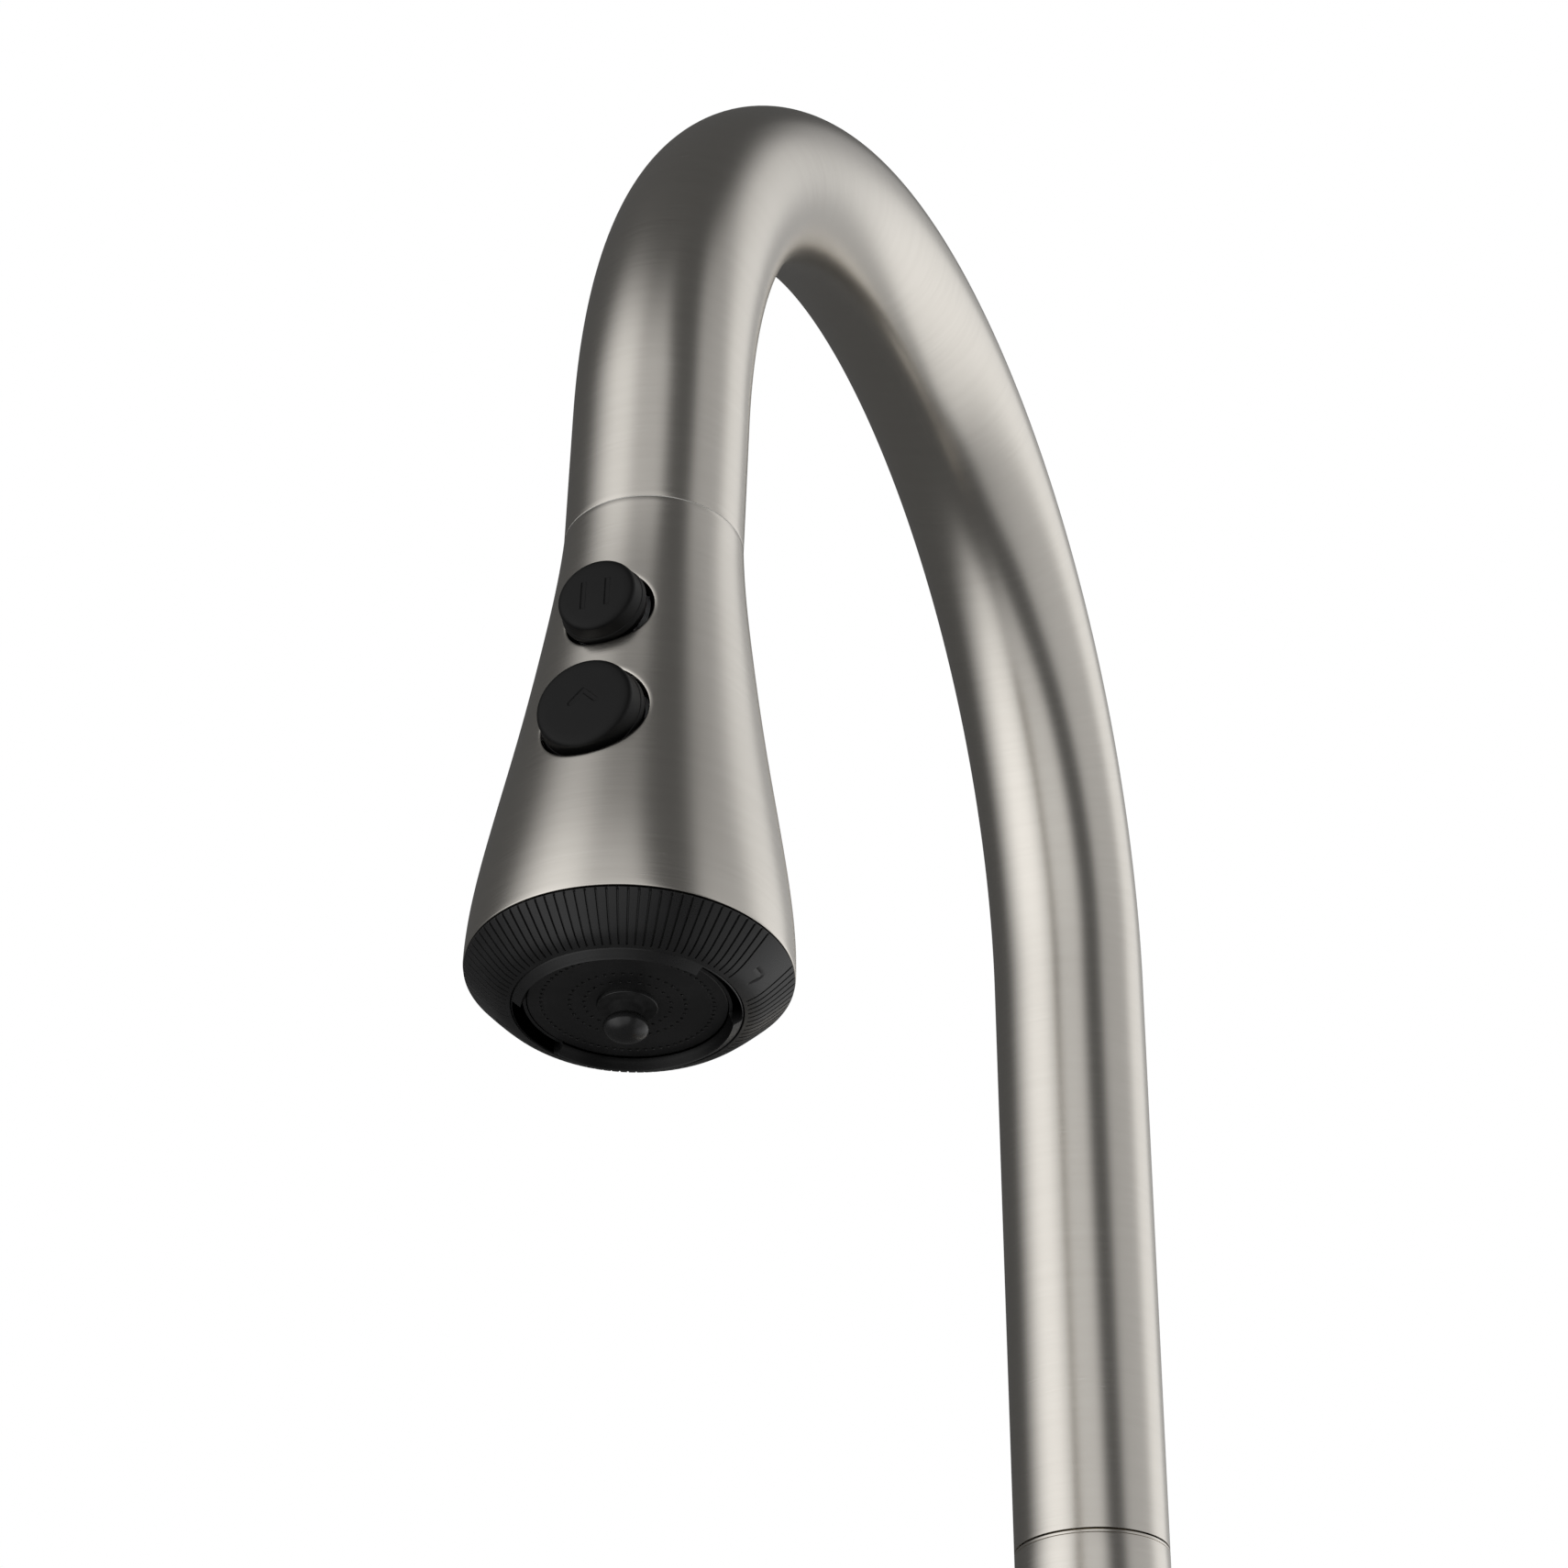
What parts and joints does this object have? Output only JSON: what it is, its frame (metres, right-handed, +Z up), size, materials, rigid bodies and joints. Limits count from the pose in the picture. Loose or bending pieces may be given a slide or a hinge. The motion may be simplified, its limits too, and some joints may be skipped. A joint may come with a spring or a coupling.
{
  "type": "pull-down kitchen faucet",
  "caption": "Single-lever kitchen faucet with a swivelling gooseneck spout, a pull-down spray head with push buttons and a twist ring, and a threaded shank that clamps to the worktop.",
  "frame": {"origin": "on the worktop, on the axis of the body and the shank", "axes": "+Z up, the spout reaches towards -Y, the lever is on +X"},
  "size_m": [0.0929, 0.2693, 0.514],
  "materials": {
    "nickel": "brushed nickel",
    "brass": "turned",
    "copper": "drawn copper",
    "stainless": "plain",
    "black_plastic": "satin black",
    "grey_plastic": "moulded",
    "magnet": "plated",
    "rubber": "matte",
    "hose_braid": "braided nylon"
  },
  "bodies": {
    "body": {"base_ring": "nickel", "base_gasket": "rubber", "body_shell": "nickel", "shank": "brass", "rubber_washer": "rubber", "deck_washer": "stainless", "mounting_nut": "brass", "lock_screws": "stainless", "valve_manifold": "brass", "cartridge": "grey_plastic", "cartridge_nut": "brass", "dome_cap": "nickel", "hot_tube": "copper", "cold_tube": "copper", "outlet_tube": "copper", "hot_fitting": "brass", "cold_fitting": "brass", "outlet_fitting": "brass", "swivel_post": "brass", "post_set_screw": "stainless", "spacer_ring": "nickel", "friction_ring": "rubber", "retaining_clip": "stainless"},
    "spout": {"spout_tube": "nickel", "lower_bushing": "grey_plastic", "upper_bushing": "grey_plastic", "dock_collar": "grey_plastic", "dock_magnet": "magnet", "spray_hose": "hose_braid", "hose_end": "brass"},
    "spray_head": {"head_shell": "nickel", "dock_spigot": "grey_plastic", "strike_ring": "stainless", "check_valve": "grey_plastic", "hose_tail": "hose_braid", "hose_coupling": "brass", "waterway_core": "grey_plastic", "pause_guide": "black_plastic", "flow_guide": "black_plastic", "pause_spring": "stainless", "flow_spring": "stainless", "spray_chamber": "grey_plastic", "chamber_screws": "stainless", "ring_clip": "stainless", "nozzle_mat": "rubber", "spray_disc": "black_plastic", "centre_bolt": "black_plastic"},
    "pause_button": {"pause_button": "black_plastic"},
    "flow_button": {"flow_button": "black_plastic"},
    "spray_ring": {"bezel_ring": "black_plastic", "mode_shutter": "grey_plastic"},
    "valve_rotor": {"cartridge_rotor": "grey_plastic", "stem_pin": "stainless"},
    "handle": {"handle_stem": "stainless", "handle_hub": "nickel", "lever": "nickel", "handle_screw": "stainless", "index_cap": "grey_plastic"}
  },
  "joints": [
    {"name": "spout_swivel", "type": "hinge", "parent": "body", "child": "spout", "pos_m": [0, 0, 0.17], "axis": [0, 0, 1], "continuous": true},
    {"name": "head_pull", "type": "slide", "parent": "spout", "child": "spray_head", "axis": [0, -0.1243, -0.9922], "range_m": [0, 0.45]},
    {"name": "pause_push", "type": "slide", "parent": "spray_head", "child": "pause_button", "axis": [0, 0.9922, -0.1243], "range_m": [0, 0.002], "stiffness_N_per_m": 900, "deforming": ["pause_spring"]},
    {"name": "flow_push", "type": "slide", "parent": "spray_head", "child": "flow_button", "axis": [0, 0.9922, -0.1243], "range_m": [0, 0.002], "stiffness_N_per_m": 900, "deforming": ["flow_spring"]},
    {"name": "ring_twist", "type": "hinge", "parent": "spray_head", "child": "spray_ring", "pos_m": [0, -0.21392, 0.18975], "axis": [0, -0.1243, -0.9922], "range_deg": [0, 45]},
    {"name": "temperature_turn", "type": "hinge", "parent": "body", "child": "valve_rotor", "pos_m": [0.044, 0, 0.062], "axis": [1, 0, 0], "range_deg": [-45, 45]},
    {"name": "lever_lift", "type": "hinge", "parent": "valve_rotor", "child": "handle", "pos_m": [0.044, 0, 0.062], "axis": [0, 1, 0], "range_deg": [0, 20]}
  ]
}
